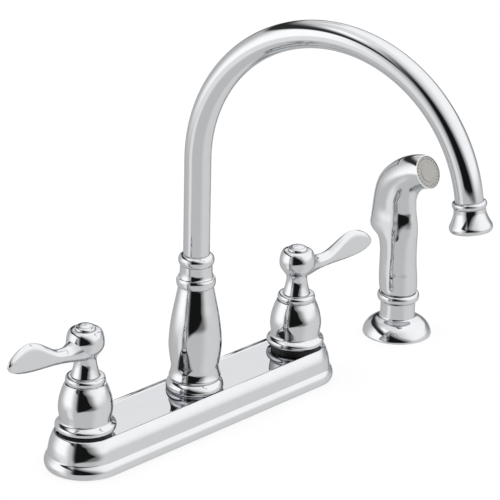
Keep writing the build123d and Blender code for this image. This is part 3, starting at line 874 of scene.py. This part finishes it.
@dataclass(frozen=True)
class Patch:
    """A soft-edged patch of the studio with its own brightness, painted over the ones before it.

    Attributes:
        level: Brightness of the patch.
        windows: Where it lies, as a soft window on each bearing that bounds it.
    """

    level: float
    windows: dict[Bearing, Edges]


STUDIO_PATCHES = (
    # overhead light, brightest straight above
    Patch(1.25, {Bearing.UP: (40, 80, *FREE_HIGH)}),
    # the table's right half
    Patch(1.0, {Bearing.ACROSS: (20, 60, 130, 150)}),
    # wide light at the right, and its far end behind the object
    Patch(1.52, {Bearing.ACROSS: (-30, 80, *FREE_HIGH), Bearing.UP: (-8, 8, *FREE_HIGH)}),
    Patch(1.52, {Bearing.ACROSS: (*FREE_LOW, -172, -138), Bearing.UP: (32, 50, *FREE_HIGH)}),
    # dim walls behind the object, at the right and the left of its middle
    Patch(0.44, {Bearing.ACROSS: (100, 146, *FREE_HIGH), Bearing.UP: (-14, -2, 10, 18)}),
    Patch(0.16, {Bearing.ACROSS: (*FREE_LOW, -170, -148), Bearing.UP: (-2, 6, 13, 19)}),
    # strip of light behind the object, which the plate's top shows
    Patch(1.35, {Bearing.ACROSS: (*FREE_LOW, -174, -160), Bearing.UP: (14, 18, 27, 34)}),
    Patch(1.35, {Bearing.ACROSS: (160, 170, *FREE_HIGH), Bearing.UP: (14, 18, 27, 34)}),
    # light panel at the left, its pool on the table and the dark ceiling over its top edge
    Patch(1.64, {Bearing.ACROSS: (-128, -82, -66, -40), Bearing.UP: (-20, -4, 60, 70)}),
    Patch(1.2, {Bearing.ACROSS: (-84, -68, -58, -44), Bearing.UP: (-45, -30, -16, -4)}),
    Patch(0.04, {Bearing.PANEL: (0.58, 0.74, 0.98, 1.6), Bearing.UP: (0, 8, *FREE_HIGH)}),
    # the open room beside the camera: grey above, black below
    Patch(
        0.24,
        {
            Bearing.ACROSS: (-44, -26, 30, 75),
            Bearing.UP: (-11, -6, *FREE_HIGH),
            Bearing.CEILING: (*FREE_LOW, 20, 52),
        },
    ),
    Patch(
        0.012,
        {
            Bearing.ACROSS: (-38, -24, 44, 54),
            Bearing.TABLE: (-9.5, -6.5, *FREE_HIGH),
            Bearing.CEILING: (*FREE_LOW, 19, 24),
        },
    ),
)


@dataclass
class Studio:
    """White studio: a pale floor, its surroundings and the photograph's camera.

    The surroundings are painted by direction, below the horizon too, and the table lets mirrored rays through to them.
    """

    front: float = -137.5
    panel_side: float = -96.0
    table_level: float = 0.8
    ceiling_fall: float = 0.72
    table_rise: float = 0.15
    lens: float = 181.27
    place: tuple[float, float, float] = (-1.125573, -1.077348, 0.720827)
    right: tuple[float, float, float] = (0.68073991, -0.73221234, 0.02140717)
    up: tuple[float, float, float] = (0.24897505, 0.25875914, 0.93330334)
    forward: tuple[float, float, float] = (0.68891552, 0.63000698, -0.35845028)

    def camera(self) -> None:
        """Place the camera of the photograph."""
        data = bpy.data.cameras.new("photo_camera")
        data.lens = self.lens
        data.sensor_width = 36.0
        data.clip_start = 0.05
        data.clip_end = 50.0
        camera = bpy.data.objects.new("photo_camera", data)
        turn = Matrix((self.right, self.up, tuple(-value for value in self.forward))).transposed()
        camera.matrix_world = Matrix.Translation(self.place) @ turn.to_4x4()
        bpy.context.scene.collection.objects.link(camera)
        bpy.context.scene.camera = camera

    def window(self, tree: bpy.types.NodeTree, value: bpy.types.NodeSocket, edges: Edges) -> bpy.types.NodeSocket:
        """Make a soft window that is 1 between the two middle edges and 0 past the outer ones.

        Args:
            tree: Node tree.
            value: Coordinate that the window looks at.
            edges: Outer low, inner low, inner high and outer high place.

        Returns:
            The window's output.
        """
        rise = add_node(
            tree,
            "ShaderNodeMapRange",
            {"interpolation_type": "SMOOTHSTEP", "in:From Min": edges[0], "in:From Max": edges[1]},
            {"Value": value},
        )
        fall = add_node(
            tree,
            "ShaderNodeMapRange",
            {
                "interpolation_type": "SMOOTHSTEP",
                "in:From Min": edges[2],
                "in:From Max": edges[3],
                "in:To Min": 1.0,
                "in:To Max": 0.0,
            },
            {"Value": value},
        )
        return self.maths(tree, "MULTIPLY", rise.outputs["Result"], fall.outputs["Result"])

    def maths(
        self, tree: bpy.types.NodeTree, operation: str, first: Operand, second: Operand = 0.0, third: Operand = 0.0
    ) -> bpy.types.NodeSocket:
        """Add a math node whose operands are sockets or plain numbers, and return its output."""
        operands = (first, second, third)
        links: dict[int, bpy.types.NodeSocket] = {}
        values: dict[str, float] = {}
        for place, item in enumerate(operands):
            if isinstance(item, bpy.types.NodeSocket):
                links[place] = item
            else:
                values[f"in:{place}"] = item
        return add_node(tree, "ShaderNodeMath", {"operation": operation, **values}, links).outputs[0]

    def bearings(self, tree: bpy.types.NodeTree) -> dict[Bearing, bpy.types.NodeSocket]:
        """Work out where a direction points in the studio, in degrees but for the panel's height.

        Args:
            tree: The world's node tree.

        Returns:
            The coordinates that the patches' windows use.
        """
        place = add_node(tree, "ShaderNodeTexCoord")
        turned = add_node(
            tree,
            "ShaderNodeVectorRotate",
            {"rotation_type": "Z_AXIS", "in:Angle": math.radians(-self.front)},
            {"Vector": place.outputs["Generated"]},
        )
        parts = add_node(tree, "ShaderNodeSeparateXYZ", {}, {0: turned.outputs["Vector"]})
        x, y, z = parts.outputs
        across = self.maths(tree, "DEGREES", self.maths(tree, "ARCTAN2", y, x))
        up = self.maths(tree, "DEGREES", self.maths(tree, "ARCSINE", z))
        lean = math.radians(self.panel_side)
        facing_x = self.maths(tree, "MULTIPLY", x, math.cos(lean))
        facing = self.maths(tree, "ADD", facing_x, self.maths(tree, "MULTIPLY", y, math.sin(lean)))
        return {
            Bearing.ACROSS: across,
            Bearing.UP: up,
            Bearing.CEILING: self.maths(tree, "MULTIPLY_ADD", across, self.ceiling_fall, up),
            Bearing.TABLE: self.maths(tree, "MULTIPLY_ADD", across, -self.table_rise, up),
            Bearing.PANEL: self.maths(tree, "DIVIDE", z, facing),
        }

    def sky(self) -> None:
        """Paint the studio round the object, as its mirror finish shows it."""
        world = bpy.data.worlds.new("studio_sky")
        bpy.context.scene.world = world
        world.use_nodes = True
        tree = world.node_tree
        tree.nodes.clear()
        bearings = self.bearings(tree)
        level: Operand = self.table_level
        for patch in STUDIO_PATCHES:
            share: Operand = 1.0
            for bearing, edges in patch.windows.items():
                share = self.maths(tree, "MULTIPLY", share, self.window(tree, bearings[bearing], edges))
            step = self.maths(tree, "SUBTRACT", patch.level, level)
            level = self.maths(tree, "MULTIPLY_ADD", share, step, level)
        painted = add_node(tree, "ShaderNodeBackground", {"in:Color": (1, 1, 1, 1)}, {"Strength": level})
        white = add_node(tree, "ShaderNodeBackground", {"in:Color": (1, 1, 1, 1), "in:Strength": 1.0})
        path = add_node(tree, "ShaderNodeLightPath")
        shaders = {0: path.outputs["Is Camera Ray"], 1: painted.outputs[0], 2: white.outputs[0]}
        mix = add_node(tree, "ShaderNodeMixShader", {}, shaders)
        add_node(tree, "ShaderNodeOutputWorld", {}, {"Surface": mix.outputs[0]})

    def floor(self) -> None:
        """Lay the pale sink deck, white to the camera but for the faucet's soft shadow."""
        bm = bmesh.new()
        bmesh.ops.create_circle(bm, cap_ends=True, segments=96, radius=6.0)
        mesh = bpy.data.meshes.new("studio_floor")
        bm.to_mesh(mesh)
        bm.free()
        floor = bpy.data.objects.new("studio_floor", mesh)
        bpy.context.scene.collection.objects.link(floor)
        material = bpy.data.materials.new("pale_sink_deck")
        material.use_nodes = True
        tree = material.node_tree
        tree.nodes.clear()
        lit = add_node(tree, "ShaderNodeBsdfDiffuse", {"in:Color": (0.8, 0.8, 0.8, 1)})
        glow = add_node(tree, "ShaderNodeEmission", {"in:Color": (1, 1, 1, 1), "in:Strength": 1.0})
        seen = add_node(tree, "ShaderNodeMixShader", {"in:0": 0.8}, {1: lit.outputs[0], 2: glow.outputs[0]})
        open_below = add_node(tree, "ShaderNodeBsdfTransparent")
        path = add_node(tree, "ShaderNodeLightPath")
        shaders = {0: path.outputs["Is Camera Ray"], 1: lit.outputs[0], 2: seen.outputs[0]}
        first = add_node(tree, "ShaderNodeMixShader", {}, shaders)
        shaders = {0: path.outputs["Is Glossy Ray"], 1: first.outputs[0], 2: open_below.outputs[0]}
        last = add_node(tree, "ShaderNodeMixShader", {}, shaders)
        add_node(tree, "ShaderNodeOutputMaterial", {}, {"Surface": last.outputs[0]})
        mesh.materials.append(material)

    def lamp(self) -> None:
        """Hang one wide soft lamp above for the shadow."""
        data = bpy.data.lights.new("soft_top", "AREA")
        data.shape = "DISK"
        data.size = 1.6
        data.energy = 14.0
        lamp = bpy.data.objects.new("soft_top", data)
        lamp.location = (-0.3, 0.5, 1.7)
        lamp.rotation_euler = (Vector((0, 0, 0)) - Vector(lamp.location)).to_track_quat("-Z", "Y").to_euler()
        lamp.visible_glossy = False
        bpy.context.scene.collection.objects.link(lamp)

    def build(self) -> None:
        """Make the camera, the sky, the floor and the lamp."""
        bpy.context.scene.view_settings.view_transform = "Standard"
        self.camera()
        self.sky()
        self.floor()
        self.lamp()


def dress_nodes(frame: dict) -> None:
    """Give each CAD node the finish of its material slot.
    """
    slots = {part["node"]: part["material_slot"] for part in frame["record"]["subparts"]}
    for name, node in frame["nodes"].items():
        material = SLOT_FINISH[slots[name]].material()
        if not node.material_slots:
            node.data.materials.append(material)
        for slot in node.material_slots:
            slot.material = material
        if min(corner[2] for corner in node.bound_box) < BELOW_DECK:
            node.visible_glossy = False  # the sink deck hides it from the chrome
        LOG.info("%s: dressed in %s", name, material.name)


def main() -> None:
    """Load the frame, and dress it."""
    logging.basicConfig(level=logging.INFO, format="%(name)s %(message)s")
    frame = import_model()
    dress_nodes(frame)
    DeckPlate().build()
    Handle(Side.LEFT, -101.6, 180.0).build()
    Handle(Side.RIGHT, 101.6, -9.8).build()
    Spout().build()
    Sprayer().build()
    Studio().build()


if __name__ == "__main__":
    main()
